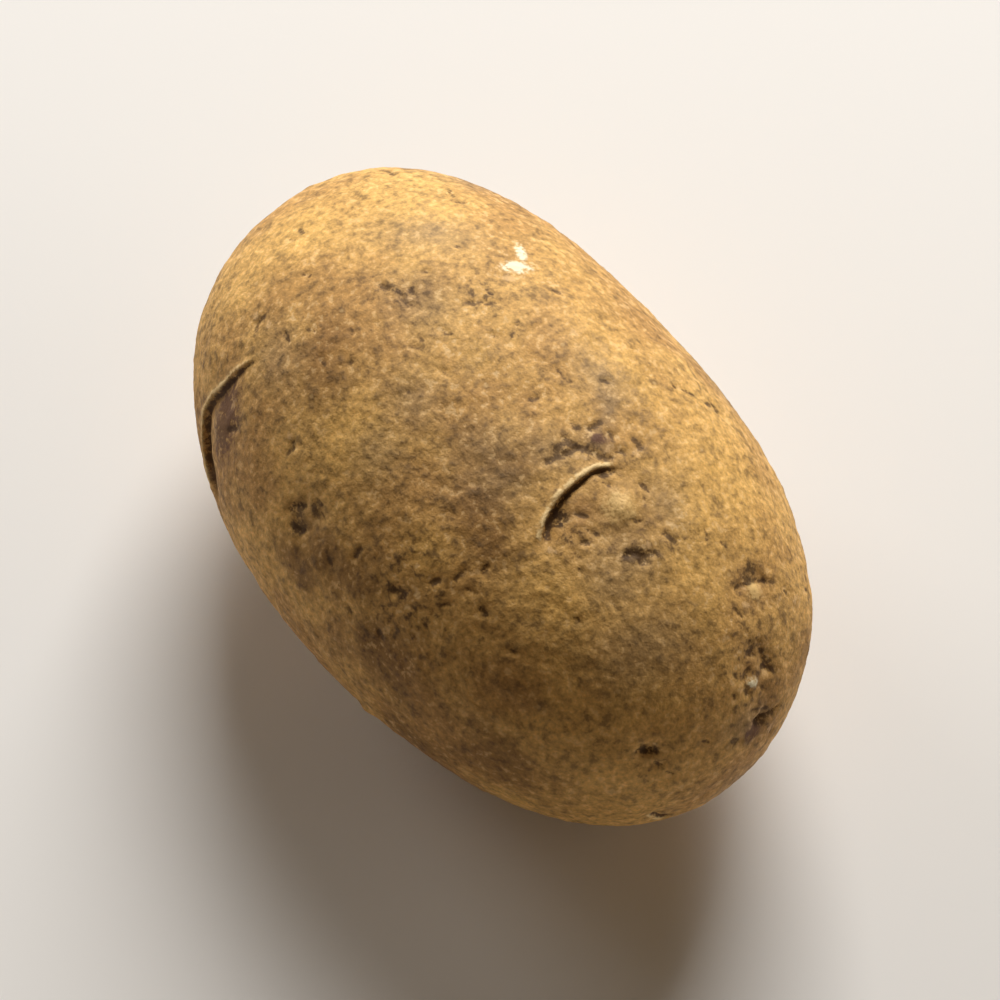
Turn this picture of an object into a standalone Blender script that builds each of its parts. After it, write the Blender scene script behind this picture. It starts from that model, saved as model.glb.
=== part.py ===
# A large oval table potato, whole and unpeeled, lying on its broad flank.
# It grew as one piece, so it is one solid. The stolon scar is at the -X end, the rose end with its
# crowded eyes is at +X, and the surface that it rests on is Z = 0.
#
# A place on the skin is given by its station, in metres along the length from the middle towards the
# rose end, and its clock angle round the length, in degrees: 0 faces +Y, 90 faces up, 270 faces down.
import math

import bmesh
import bpy
import numpy as np

MM = 0.001

# Driving dimensions of the smooth tuber, before its swellings
LENGTH = 107.0 * MM
WIDTH = 67.0 * MM
THICKNESS = 60.0 * MM
SQUARENESS = 2.1  # 2 is a plain ellipsoid, and more fills its shoulders out
TAPER = 0.03  # share by which the rose end is thicker than the middle, and the stem end thinner
BOW = 1.0 * MM  # sideways bend of the long axis
HALF = np.array([LENGTH, WIDTH, THICKNESS]) / 2

# Broad swellings and hollows of the flesh: station, clock, rise, and angular spread in degrees
SWELLINGS = (
    (-5 * MM, 20, -2.5 * MM, 32),  # the far flank is flatter
    (20 * MM, 15, 0.5 * MM, 32),
    (-50 * MM, 115, -1.5 * MM, 32),  # the stem end slopes
    (-30 * MM, 185, 1.7 * MM, 32),  # the near flank is full
    (-5 * MM, 190, 1.7 * MM, 32),
    (20 * MM, 200, -0.4 * MM, 32),
    (41 * MM, 16, 0.7 * MM, 8),  # a knob beside the rose end
    (15 * MM, 290, -1.2 * MM, 24),  # the underside, uneven where it grew against stones
    (-24 * MM, 310, 0.9 * MM, 24),
    (42 * MM, 320, -0.8 * MM, 20),
    (-12 * MM, 228, -0.8 * MM, 15),
    (25 * MM, 246, 0.6 * MM, 14),
    (-39 * MM, 288, 0.6 * MM, 14),
    (-18 * MM, 118, 0.35 * MM, 13),  # faint unevenness of the upper face
    (3 * MM, 112, -0.35 * MM, 12),
    (30 * MM, 118, 0.35 * MM, 12),
    (-3 * MM, 72, 0.3 * MM, 12),
    (-32 * MM, 84, -0.3 * MM, 12),
    (12 * MM, 92, 0.35 * MM, 10),
    (37 * MM, 88, -0.3 * MM, 10),
)

# Eyes. Each is a hollow with a brow, the arched scar of a scale leaf, on the side towards the stem.
# station, clock, turn of the brow from the stem side, brow radius, half of its arc, reach from the
# hollow's middle to the brow, depth of the hollow, and how much deeper the fold is at one end
EYES = (
    (21.0 * MM, 89.4, 9, 13.6 * MM, 39, 5.0 * MM, 0.8 * MM, 0.4),  # the large eye on the upper face
    (-27.0 * MM, 165, 28, 8.7 * MM, 72, 5.5 * MM, 1.2 * MM, 0.0),  # the long brow on the near flank
    (-6.4 * MM, 147, 0, 3.8 * MM, 50, 2.6 * MM, 0.5 * MM, 0.0),
    (36.8 * MM, 51.7, -19, 7.7 * MM, 43, 3.0 * MM, 0.9 * MM, 0.2),  # the first of the rose end's row
    (44.8 * MM, 55.5, -70, 7.0 * MM, 28, 2.6 * MM, 0.9 * MM, 0.0),
    (50.1 * MM, 43, -135, 6.0 * MM, 32, 2.0 * MM, 0.8 * MM, 0.0),
    (47.6 * MM, 130, -92, 5.5 * MM, 36, 1.9 * MM, 0.7 * MM, 0.3),
    (51.5 * MM, 200, 10, 4.0 * MM, 45, 1.9 * MM, 0.6 * MM, 0.0),
    (43.0 * MM, 225, 8, 5.5 * MM, 42, 2.6 * MM, 0.8 * MM, -0.2),
    (47.0 * MM, 320, -12, 5.0 * MM, 45, 2.4 * MM, 0.8 * MM, 0.0),
    (29.0 * MM, 308, 6, 7.5 * MM, 40, 3.2 * MM, 0.9 * MM, 0.2),
    (8.0 * MM, 226, -8, 8.0 * MM, 44, 3.6 * MM, 0.9 * MM, -0.3),
    (-5.0 * MM, 340, 12, 9.0 * MM, 42, 3.8 * MM, 1.0 * MM, 0.3),
    (-31.0 * MM, 250, -10, 6.5 * MM, 45, 3.2 * MM, 0.8 * MM, 0.0),
    (-37.0 * MM, 12, 5, 5.5 * MM, 45, 2.6 * MM, 0.7 * MM, 0.0),
)
BROW_LIP = 0.4 * MM  # height of the brow's raised rim
BROW_CREVICE = 1.2 * MM  # depth of the fold tucked under it
LIP_OUTER = 1.7 * MM  # how far the rim takes to run out on the stem side
LIP_INNER = 0.8 * MM  # how steeply it drops into the fold
FOLD_WIDTH = 2.0 * MM
BROW_FADE = 14  # degrees of arc over which a brow dies away at its ends
FULL_SIZE_REACH = 4.0 * MM  # the brow of an eye with a shorter reach is smaller all round
BUD_RISE = 0.6  # height of the bud in a hollow, as a share of the hollow's depth
BUD_WIDTH = 0.5  # its radius, as a share of the reach

# Stolon scar, where the tuber hung from its runner
SCAR_STATION = -52.0 * MM
SCAR_CLOCK = 262
SCAR_RADIUS = 4.2 * MM
SCAR_DEPTH = 1.3 * MM
STUB_RADIUS = 1.3 * MM
STUB_HEIGHT = 1.0 * MM

# The flat spot that it rests on
FLAT_CUT = 0.55 * MM  # how much of the round underside the flat spot takes off
FLAT_BLEND = 0.4 * MM  # how softly it runs into the flanks

# Facets: the longest edge on the plain skin, in the hollows, and along a brow, and how the facets
# grow away from a brow
BASE_SUBDIVISIONS = 4
PLAIN_EDGE = 4.6 * MM
HOLLOW_EDGE = 2.6 * MM
BROW_EDGE = 1.15 * MM
EDGE_GROWTH = 1.4
BROW_BAND = 0.7 * MM
SPLITTING_ROUNDS = 5
GATHERING = 0.75  # share of their distance from a brow's slope by which nearby corners are drawn in to it
GATHERING_WIDTH = 1.6 * MM
SLOPE_MIDDLE = 0.45 * MM  # how far inside the rim the middle of that slope lies

SKIN_COLOUR = (0.46, 0.29, 0.12, 1.0)
SKIN_ROUGHNESS = 0.8


def direction_of(station, clock):
    """The direction, on a unit ball, of a place on the skin."""
    along = station / HALF[0]
    around = math.sqrt(1 - along**2)
    turn = math.radians(clock)
    return np.array([along, around * math.cos(turn), around * math.sin(turn)])


def outward_at(directions):
    """The ellipsoid's unit normals, along which the skin rises and sinks."""
    normals = directions / HALF
    return normals / np.linalg.norm(normals, axis=1)[:, None]


def smooth_tuber(directions):
    """The tuber without its eyes: a slightly square ellipsoid, tapered, bowed and swollen."""
    fullness = (np.abs(directions) ** SQUARENESS).sum(axis=1) ** (-1 / SQUARENESS)
    points = directions * fullness[:, None] * HALF
    along = points[:, 0] / HALF[0]
    points[:, 1:] *= (1 + TAPER * along)[:, None]
    points[:, 1] += BOW * (0.5 - along**2)
    outward = outward_at(directions)
    for station, clock, rise, spread in SWELLINGS:
        away = np.arccos(np.clip(directions @ direction_of(station, clock), -1, 1))
        bulge = rise * np.exp(-((away / math.radians(spread)) ** 2))
        points += outward * bulge[:, None]
    return points


def smoothstep(low, high, value):
    share = np.clip((value - low) / (high - low), 0, 1)
    return share * share * (3 - 2 * share)


def local_axes(station, clock, turn=0.0):
    """A place on the skin, and the two unit vectors along the skin there: across, and ahead to the stem."""
    direction = direction_of(station, clock)[None, :]
    place = smooth_tuber(direction)[0]
    outward = outward_at(direction)[0]
    stem = np.array([-1.0, 0, 0]) + outward * outward[0]
    stem /= np.linalg.norm(stem)
    side = np.cross(outward, stem)
    angle = math.radians(turn)
    ahead = stem * math.cos(angle) + side * math.sin(angle)
    across = side * math.cos(angle) - stem * math.sin(angle)
    return place, across, ahead


def eye_coordinates(points, eye):
    """For each point: its distance from the hollow's middle, how far it is outside the brow's arc, and
    its angle along the arc in degrees."""
    station, clock, turn, radius, _, reach, _, _ = eye
    place, across, ahead = local_axes(station, clock, turn)
    offset = points - place
    u = offset @ across
    v = offset @ ahead + radius - reach
    away = np.linalg.norm(offset, axis=1)
    return away, np.hypot(u, v) - radius, np.degrees(np.arctan2(u, v))


def brow_strength(eye, away, angle):
    """1 along the brow, dying away at its two ends."""
    radius, half_arc = eye[3:5]
    strength = 1 - smoothstep(half_arc - BROW_FADE, half_arc + BROW_FADE, np.abs(angle))
    return strength * (away < 1.6 * radius)


def brow_size(eye):
    """The height of an eye's brow beside that of a full-sized one."""
    return min(1.0, eye[5] / FULL_SIZE_REACH)


def brow_scale(eye):
    """The width of an eye's brow beside that of a full-sized one."""
    return 0.4 + 0.6 * brow_size(eye)


def gathered(directions):
    """Draws directions near a brow in towards its arc, so that the facets follow its rim."""
    for eye in EYES:
        station, clock, turn = eye[:3]
        _, across, ahead = local_axes(station, clock, turn)
        away, outside, angle = eye_coordinates(smooth_tuber(directions), eye)
        scale = brow_scale(eye)
        from_slope = outside + SLOPE_MIDDLE * scale
        nearby = np.exp(-((from_slope / (GATHERING_WIDTH * scale)) ** 2))
        pull = -GATHERING * from_slope * nearby * brow_strength(eye, away, angle)
        turned = np.radians(angle)[:, None]
        outwards = np.sin(turned) * across + np.cos(turned) * ahead
        directions = directions + pull[:, None] * outwards / HALF
        directions /= np.linalg.norm(directions, axis=1)[:, None]
    return directions


def eye_relief(points, eye):
    """How far an eye raises each point along the outward normal."""
    half_arc, reach, depth, lean = eye[4:]
    away, outside, angle = eye_coordinates(points, eye)
    hollow = -depth * np.exp(-((away / (1.3 * reach)) ** 2))
    bud = BUD_RISE * depth * np.exp(-((away / (BUD_WIDTH * reach)) ** 2))
    size = brow_size(eye)
    strength = brow_strength(eye, away, angle)
    scaled = outside / brow_scale(eye)
    steep = np.exp(-((scaled / LIP_INNER) ** 2))
    rim = np.where(outside > 0, np.exp(-((scaled / LIP_OUTER) ** 2)), steep)
    fold = np.where(outside > 0, 0, np.exp(-((scaled / FOLD_WIDTH) ** 2)) - steep)
    fold *= 1 + lean * np.clip(angle / half_arc, -1, 1)
    return hollow + bud + size * strength * (BROW_LIP * rim - BROW_CREVICE * fold)


def scar_relief(points):
    """The dish and the dry stub that the runner left at the stem end."""
    place = local_axes(SCAR_STATION, SCAR_CLOCK)[0]
    away = np.linalg.norm(points - place, axis=1)
    dish = -SCAR_DEPTH * np.exp(-((away / SCAR_RADIUS) ** 4))
    stub = STUB_HEIGHT * (1 - smoothstep(0.7 * STUB_RADIUS, 1.4 * STUB_RADIUS, away))
    return dish + stub


def skin_points(directions):
    """The finished skin, with its eyes, its stolon scar and the flat spot below."""
    smooth = smooth_tuber(directions)
    rise = scar_relief(smooth) + sum(eye_relief(smooth, eye) for eye in EYES)
    points = smooth + outward_at(directions) * rise[:, None]
    above = points[:, 2] - (smooth[:, 2].min() + FLAT_CUT)
    settled = np.where(above > 0, above * above / (above + FLAT_BLEND), 0)
    points[:, 2] = settled
    return points


def longest_edge_allowed(points):
    """The facet size wanted at each place: fine along the brows, coarser in the hollows."""
    allowed = np.full(len(points), PLAIN_EDGE)
    for eye in EYES:
        radius, half_arc, reach = eye[3:6]
        away, outside, angle = eye_coordinates(points, eye)
        past_the_end = np.radians(np.maximum(0, np.abs(angle) - half_arc)) * radius
        from_brow = np.hypot(outside, past_the_end)
        edge = BROW_EDGE * min(1, FULL_SIZE_REACH / reach) ** 2
        near_brow = edge + EDGE_GROWTH * np.maximum(0, from_brow - BROW_BAND)
        near_hollow = HOLLOW_EDGE + EDGE_GROWTH * np.maximum(0, away - reach)
        allowed = np.minimum(allowed, np.minimum(near_brow, near_hollow))
    scar = local_axes(SCAR_STATION, SCAR_CLOCK)[0]
    away = np.linalg.norm(points - scar, axis=1)
    near_scar = HOLLOW_EDGE + EDGE_GROWTH * np.maximum(0, away - 1.2 * SCAR_RADIUS)
    return np.minimum(allowed, near_scar)


def directions_in(work):
    directions = np.array([vertex.co for vertex in work.verts])
    return directions / np.linalg.norm(directions, axis=1)[:, None]


def split_long_edges(work):
    """Halves each edge of the unit ball that would be too long on the tuber for the relief it carries."""
    points = smooth_tuber(directions_in(work))
    work.verts.index_update()
    ends = np.array([[vertex.index for vertex in edge.verts] for edge in work.edges])
    first, second = points[ends[:, 0]], points[ends[:, 1]]
    too_long = np.linalg.norm(first - second, axis=1) > longest_edge_allowed((first + second) / 2)
    edges = [edge for edge, split in zip(work.edges, too_long) if split]
    bmesh.ops.subdivide_edges(work, edges=edges, cuts=1)
    bmesh.ops.triangulate(work, faces=work.faces[:])


def make_tuber(name, collection):
    work = bmesh.new()
    bmesh.ops.create_icosphere(work, subdivisions=BASE_SUBDIVISIONS, radius=1.0)
    for _ in range(SPLITTING_ROUNDS):
        split_long_edges(work)
    points = skin_points(gathered(directions_in(work)))
    middle = (points.min(axis=0) + points.max(axis=0)) / 2
    points[:, :2] -= middle[:2]
    for vertex, point in zip(work.verts, points):
        vertex.co = point
    mesh = bpy.data.meshes.new(name)
    work.to_mesh(mesh)
    work.free()
    mesh.shade_smooth()
    tuber = bpy.data.objects.new(name, mesh)
    collection.objects.link(tuber)
    return tuber


def skin_material():
    """Dry brown cork with a film of soil on it."""
    material = bpy.data.materials.new("potato_skin")
    material.use_nodes = True
    shader = material.node_tree.nodes["Principled BSDF"]
    shader.inputs["Base Color"].default_value = SKIN_COLOUR
    shader.inputs["Roughness"].default_value = SKIN_ROUGHNESS
    shader.inputs["Metallic"].default_value = 0.0
    return material


def main():
    for old in list(bpy.data.objects):
        bpy.data.objects.remove(old)
    collection = bpy.data.collections.new("potato")
    bpy.context.scene.collection.children.link(collection)
    tuber = make_tuber("potato", collection)
    tuber.data.materials.append(skin_material())


main()
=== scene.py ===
# %% [markdown]
# # A whole table potato
# A potato is the swollen end of an underground runner. It has one solid body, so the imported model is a
# single piece. This lesson gives that piece its surface: the brows of its eyes, its pits and its cork
# skin with a film of soil, and then sets up a small studio to look at it in.

# %% Load the solid potato
import math

import bpy
import numpy as np
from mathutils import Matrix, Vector


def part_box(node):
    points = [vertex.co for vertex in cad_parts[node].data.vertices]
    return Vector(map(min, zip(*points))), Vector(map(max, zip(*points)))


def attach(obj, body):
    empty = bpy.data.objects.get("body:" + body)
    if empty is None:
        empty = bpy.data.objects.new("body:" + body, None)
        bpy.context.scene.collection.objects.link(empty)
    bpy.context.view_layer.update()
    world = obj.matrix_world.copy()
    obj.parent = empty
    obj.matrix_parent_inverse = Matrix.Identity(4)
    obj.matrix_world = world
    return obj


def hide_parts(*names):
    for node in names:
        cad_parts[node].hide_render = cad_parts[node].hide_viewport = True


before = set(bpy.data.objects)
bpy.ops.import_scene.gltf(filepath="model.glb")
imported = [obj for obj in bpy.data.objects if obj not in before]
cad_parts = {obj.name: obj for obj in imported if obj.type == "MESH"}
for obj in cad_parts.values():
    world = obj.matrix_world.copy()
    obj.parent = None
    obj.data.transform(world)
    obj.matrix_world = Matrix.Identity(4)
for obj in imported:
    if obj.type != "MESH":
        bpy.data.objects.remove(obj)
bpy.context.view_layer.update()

MM = 0.001
low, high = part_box("potato")
print("the solid potato is", [round((b - a) / MM, 1) for a, b in zip(low, high)], "mm")

# %% [markdown]
# ## The shape of the tuber
# The solid was made from a rule, so the skin follows the same rule at a finer scale: a slightly square
# ellipsoid with broad swellings. A place on the skin is given by its station, which is measured along
# the length from the middle towards the rose end, and by its clock angle round the length, where 0
# faces +Y and 90 faces up. Shrinkwrapping a mesh onto the solid would also work, but it would copy the
# solid's facets.

# %% The smooth tuber
LENGTH = 107.0 * MM
WIDTH = 67.0 * MM
THICKNESS = 60.0 * MM
SQUARENESS = 2.1  # 2 makes an ellipsoid, and more makes it squarer
TAPER = 0.03  # the share by which it is thicker at the rose end than in the middle
BOW = 1.0 * MM  # how far its ends bend back from its middle
HALF = np.array([LENGTH, WIDTH, THICKNESS]) / 2

# station, clock, rise and angular spread of each swelling or hollow
SWELLINGS = (
    (-5 * MM, 20, -2.5 * MM, 32),
    (20 * MM, 15, 0.5 * MM, 32),
    (-50 * MM, 115, -1.5 * MM, 32),
    (-30 * MM, 185, 1.7 * MM, 32),
    (-5 * MM, 190, 1.7 * MM, 32),
    (20 * MM, 200, -0.4 * MM, 32),
    (41 * MM, 16, 0.7 * MM, 8),
    (15 * MM, 290, -1.2 * MM, 24),
    (-24 * MM, 310, 0.9 * MM, 24),
    (42 * MM, 320, -0.8 * MM, 20),
    (-12 * MM, 228, -0.8 * MM, 15),
    (25 * MM, 246, 0.6 * MM, 14),
    (-39 * MM, 288, 0.6 * MM, 14),
    (-18 * MM, 118, 0.35 * MM, 13),
    (3 * MM, 112, -0.35 * MM, 12),
    (30 * MM, 118, 0.35 * MM, 12),
    (-3 * MM, 72, 0.3 * MM, 12),
    (-32 * MM, 84, -0.3 * MM, 12),
    (12 * MM, 92, 0.35 * MM, 10),
    (37 * MM, 88, -0.3 * MM, 10),
)


def direction_of(station, clock):
    """The direction, on a unit ball, of a place on the skin."""
    along = station / HALF[0]
    around = math.sqrt(1 - along**2)
    turn = math.radians(clock)
    return np.array([along, around * math.cos(turn), around * math.sin(turn)])


def outward_at(directions):
    """The ellipsoid's unit normals, along which the skin rises and sinks."""
    normals = directions / HALF
    return normals / np.linalg.norm(normals, axis=1)[:, None]


def smooth_tuber(directions):
    """The tuber without its eyes."""
    fullness = (np.abs(directions) ** SQUARENESS).sum(axis=1) ** (-1 / SQUARENESS)
    points = directions * fullness[:, None] * HALF
    along = points[:, 0] / HALF[0]
    points[:, 1:] *= (1 + TAPER * along)[:, None]
    points[:, 1] += BOW * (0.5 - along**2)
    outward = outward_at(directions)
    for station, clock, rise, spread in SWELLINGS:
        away = np.arccos(np.clip(directions @ direction_of(station, clock), -1, 1))
        points += outward * (rise * np.exp(-((away / math.radians(spread)) ** 2)))[:, None]
    return points


def smoothstep(start, end, value):
    """0 at the start and 1 at the end, with a soft ramp between them."""
    share = np.clip((value - start) / (end - start), 0, 1)
    return share * share * (3 - 2 * share)


ends = smooth_tuber(np.array([direction_of(LENGTH / 2, 0), direction_of(-LENGTH / 2, 0)]))
print("the smooth tuber is", round(float(ends[0, 0] - ends[1, 0]) / MM, 1), "mm long")

# %% [markdown]
# ## Eyes
# An eye is where a bud sits. On the side towards the stem it has a brow, the scar of a scale leaf: a
# thin arched rim with a fold tucked under it. The solid has each brow as a soft ridge. Here the rim is
# thin and the fold narrow and deep, as on the real potato. The brows that face the camera follow a few
# places read off the real ones, and the rest are plain arcs. A texture can't be turned round each eye,
# so the relief is worked out for each point of the mesh from its distance to the line of the brow.

# %% The eyes and their brows
# Each eye has the station and clock of its hollow, the hollow's reach and depth, the sharpness of the
# brow, the width of its fold, how much the fold narrows from the brow's first end to its last, and the
# brow. A brow is a row of places in millimetres and degrees, or for the plain ones its turn from the
# stem side, its radius and half of its arc.
EYES = (
    (21.9 * MM, 83.5, 5.0 * MM, 0.8 * MM, 1.0, 0.95 * MM, 0.45,
     ((20.8, 106.5), (18.5, 102.1), (17.3, 98.1), (16.4, 93.8), (15.8, 86.0), (16.0, 82.3),
      (17.2, 76.5))),
    (-26.0 * MM, 163.0, 5.5 * MM, 1.2 * MM, 0.6, 2.3 * MM, 0.45,
     ((-19.0, 184.0), (-25.4, 182.0), (-28.2, 177.3), (-30.3, 170.0), (-30.6, 163.7), (-29.9, 155.7),
      (-29.2, 146.7), (-28.3, 139.1), (-27.3, 132.4))),
    (-5.4 * MM, 148.3, 2.6 * MM, 0.7 * MM, 0.1, 1.0 * MM, 0.3,
     ((-3.2, 151.0), (-5.3, 153.8), (-7.8, 151.0), (-8.1, 146.5), (-6.2, 142.5))),
    (38.0 * MM, 54.0, 3.0 * MM, 0.6 * MM, 0.15, 1.1 * MM, 0.2,
     ((37.6, 63.0), (36.0, 59.1), (35.2, 55.0), (35.5, 50.8), (36.8, 47.6), (37.7, 43.5))),
    (46.0 * MM, 57.0, 2.6 * MM, 0.9 * MM, 0.3, 1.2 * MM, -0.5,
     ((42.6, 56.0), (43.8, 53.4), (45.4, 51.0), (46.9, 44.0))),
    (50.1 * MM, 50.0, 2.0 * MM, 0.8 * MM, 0.35, 1.1 * MM, 0.0,
     ((49.7, 24.0), (50.6, 35.0), (51.2, 50.0))),
    (48.0 * MM, 127.0, 1.9 * MM, 0.6 * MM, 0.3, 1.0 * MM, 0.4,
     ((46.6, 132.0), (46.2, 127.0), (46.6, 122.5), (48.2, 119.5))),
    (51.5 * MM, 200, 1.9 * MM, 0.6 * MM, 0.8, 1.0 * MM, 0.0, (10, 4.0 * MM, 45)),
    (43.0 * MM, 225, 2.6 * MM, 0.8 * MM, 0.9, 1.1 * MM, -0.2, (8, 5.5 * MM, 42)),
    (47.0 * MM, 320, 2.4 * MM, 0.8 * MM, 0.9, 1.1 * MM, 0.1, (-12, 5.0 * MM, 45)),
    (29.0 * MM, 308, 3.2 * MM, 0.9 * MM, 1.0, 1.1 * MM, 0.2, (6, 7.5 * MM, 40)),
    (8.0 * MM, 226, 3.6 * MM, 0.9 * MM, 1.0, 1.2 * MM, -0.3, (-8, 8.0 * MM, 44)),
    (-5.0 * MM, 340, 3.8 * MM, 1.0 * MM, 1.0, 1.2 * MM, 0.3, (12, 9.0 * MM, 42)),
    (-31.0 * MM, 250, 3.2 * MM, 0.8 * MM, 0.9, 1.1 * MM, 0.1, (-10, 6.5 * MM, 45)),
    (-37.0 * MM, 12, 2.6 * MM, 0.7 * MM, 0.9, 1.0 * MM, -0.1, (5, 5.5 * MM, 45)),
)
# Sizes of a full-sized brow, which is one whose hollow reaches this far. Smaller eyes have lower and
# narrower ones.
FULL_SIZE_REACH = 4.0 * MM
NARROWEST_BROW = 0.4
BROW_LIP = 0.42 * MM
BROW_CREVICE = 1.3 * MM
LIP_OUTER = 0.9 * MM
LIP_INNER = 0.25 * MM
BROW_FADE = 0.22  # the share of its length over which it dies away at each end
BROW_REACH = 6.0 * MM  # how far from its line it can still be felt
# Where the rim's painted highlight and the fold's painted shade lie, measured from the line
RIM_MIDDLE = 0.12 * MM
RIM_OUTWARD = 0.60 * MM
RIM_INWARD = 0.30 * MM
DARK_START = 0.15 * MM
DARK_MIDDLE = 0.32 * MM
DARK_WIDTH = 0.36 * MM
TINT_GAIN = 1.4  # its colours hold nearer to its ends than its height does
# The hollow and the bud, as shares of the eye's reach, and the bud's height as a share of the depth
HOLLOW_SPREAD = 1.3
BUD_SPREAD = 0.5
BUD_RISE = 0.5
SMALLEST_GOLDEN_BUD = 0.7  # smaller eyes, beside a full-sized one, have buds as brown as the skin
# How the mesh is drawn together along a brow's slope
GATHERING = 0.6
GATHERING_WIDTH = 1.1 * MM
SLOPE_MIDDLE = 0.20 * MM
STEPS_PER_SPAN = 6
ARC_POINTS = 17


def local_axes(station, clock, turn=0.0):
    """A place on the skin, and two unit vectors along the skin there: across, and ahead to the stem."""
    direction = direction_of(station, clock)[None, :]
    place = smooth_tuber(direction)[0]
    outward = outward_at(direction)[0]
    stem = np.array([-1.0, 0, 0]) + outward * outward[0]
    stem /= np.linalg.norm(stem)
    side = np.cross(outward, stem)
    angle = math.radians(turn)
    ahead = stem * math.cos(angle) + side * math.sin(angle)
    across = side * math.cos(angle) - stem * math.sin(angle)
    return place, across, ahead


def brow_line(eye):
    """Points along the top of a brow, with the hollow on their right."""
    station, clock, reach = eye[:3]
    brow = eye[-1]
    if isinstance(brow[0], tuple):
        places = [smooth_tuber(direction_of(s * MM, c)[None, :])[0] for s, c in brow]
        places = np.array([2 * places[0] - places[1], *places, 2 * places[-1] - places[-2]])
        line = []
        for before, start, end, after in zip(places, places[1:], places[2:], places[3:]):
            turning = 2 * before - 5 * start + 4 * end - after
            twisting = 3 * start - before - 3 * end + after
            for t in np.arange(STEPS_PER_SPAN) / STEPS_PER_SPAN:
                curve = 2 * start + (end - before) * t + turning * t**2
                line.append((curve + twisting * t**3) / 2)
        return np.array([*line, places[-2]])
    turn, radius, half_arc = brow
    place, across, ahead = local_axes(station, clock, turn)
    centre = place + ahead * (reach - radius)
    line = []
    # Two small waves keep a plain arc from looking drawn with compasses
    for angle in np.linspace(half_arc, -half_arc, ARC_POINTS):
        wavering = radius * (1 + 0.02 * math.sin(0.14 * angle + clock) + 0.015 * math.sin(0.31 * angle))
        across_part = math.sin(math.radians(angle)) * across
        line.append(centre + wavering * (across_part + math.cos(math.radians(angle)) * ahead))
    return np.array(line)


def beside_brow(points, outward, line):
    """Distance to the left of a brow's line, how far along it, and the unit vector to its left."""
    nearest = np.full(len(points), 1.0)
    along = np.zeros(len(points))
    left = np.zeros((len(points), 3))
    steps = np.linalg.norm(np.diff(line, axis=0), axis=1)
    travelled = np.concatenate([[0], np.cumsum(steps)]) / steps.sum()
    from_middle = np.linalg.norm(points - line.mean(axis=0), axis=1)
    close = np.flatnonzero(from_middle < 0.5 * steps.sum() + BROW_REACH)
    for start, end, first, last in zip(line, line[1:], travelled, travelled[1:]):
        step = end - start
        share = np.clip((points[close] - start) @ step / (step @ step), 0, 1)
        offset = points[close] - start - share[:, None] * step
        normal = outward[close]
        offset -= normal * (offset * normal).sum(axis=1)[:, None]
        away = np.linalg.norm(offset, axis=1)
        better = away < np.abs(nearest[close])
        chosen = close[better]
        to_left = np.cross(normal[better], step)
        to_left /= np.linalg.norm(to_left, axis=1)[:, None]
        nearest[chosen] = away[better] * np.sign((offset[better] * to_left).sum(axis=1))
        along[chosen] = first + share[better] * (last - first)
        left[chosen] = to_left
    return nearest, along, left


def brow_strength(beside, along):
    """1 along the brow, dying away at its two ends."""
    fading = smoothstep(0, BROW_FADE, along) * smoothstep(1, 1 - BROW_FADE, along)
    return fading * (np.abs(beside) < BROW_REACH)


def brow_size(eye):
    """The height of an eye's brow beside that of a full-sized one."""
    return min(1.0, eye[2] / FULL_SIZE_REACH)


def brow_scale(eye):
    """The width of an eye's brow beside that of a full-sized one."""
    return NARROWEST_BROW + (1 - NARROWEST_BROW) * brow_size(eye)


BROW_LINES = [brow_line(eye) for eye in EYES]
lengths = [np.linalg.norm(np.diff(line, axis=0), axis=1).sum() / MM for line in BROW_LINES]
print(len(EYES), "eyes with brows from", round(min(lengths)), "to", round(max(lengths)), "mm long")

# %% The relief of an eye


def gathered(directions):
    """Draws directions near a brow in towards its slope, so that the mesh is finest there."""
    for eye, line in zip(EYES, BROW_LINES):
        beside, along, left = beside_brow(smooth_tuber(directions), outward_at(directions), line)
        scale = brow_scale(eye)
        from_slope = beside + SLOPE_MIDDLE * scale
        nearby = np.exp(-((from_slope / (GATHERING_WIDTH * scale)) ** 2))
        pull = -GATHERING * from_slope * nearby * brow_strength(beside, along)
        directions = directions + pull[:, None] * left / HALF
        directions /= np.linalg.norm(directions, axis=1)[:, None]
    return directions


def eye_relief(points, outward, eye, line):
    """How far an eye raises each point, and masks from 0 to 1 of its fold's painted shade, its rim's
    painted highlight, its hollow and its bud.
    """
    station, clock, reach, depth, sharpness, fold_width, narrowing, _ = eye
    away = np.linalg.norm(points - local_axes(station, clock)[0], axis=1)
    hollow = np.exp(-((away / (HOLLOW_SPREAD * reach)) ** 2))
    bud = np.exp(-((away / (BUD_SPREAD * reach)) ** 2))
    beside, along, _ = beside_brow(points, outward, line)
    size = brow_size(eye)
    strength = sharpness * brow_strength(beside, along)
    scaled = beside / brow_scale(eye)
    fuller = 1 + narrowing * (1 - 2 * along)
    steep = np.exp(-((scaled / LIP_INNER) ** 2))
    rim = np.where(beside > 0, np.exp(-((scaled / LIP_OUTER) ** 2)), steep)
    fold = np.where(beside > 0, 0, np.exp(-((scaled / (fold_width * fuller)) ** 2)) - steep)
    rise = -depth * hollow + BUD_RISE * depth * bud
    rise += size * strength * (BROW_LIP * rim - BROW_CREVICE * fuller * fold)
    # The rim's pale band is a painted highlight on its lit crest, and the fold's dark band is painted
    # shade
    shown = np.minimum(1, TINT_GAIN * strength)
    from_rim = scaled - RIM_MIDDLE
    pale = np.exp(-((from_rim / np.where(from_rim > 0, RIM_OUTWARD, RIM_INWARD)) ** 2))
    from_dark = scaled + DARK_START + DARK_MIDDLE * fuller
    dark = np.exp(-((from_dark / (DARK_WIDTH * fuller)) ** 2))
    return rise, shown * dark, shown * pale, hollow, bud * (size > SMALLEST_GOLDEN_BUD)


print("a full-sized rim stands", round(BROW_LIP / MM, 2), "mm up and its fold is",
      round(BROW_CREVICE / MM, 1), "mm deep")

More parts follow.
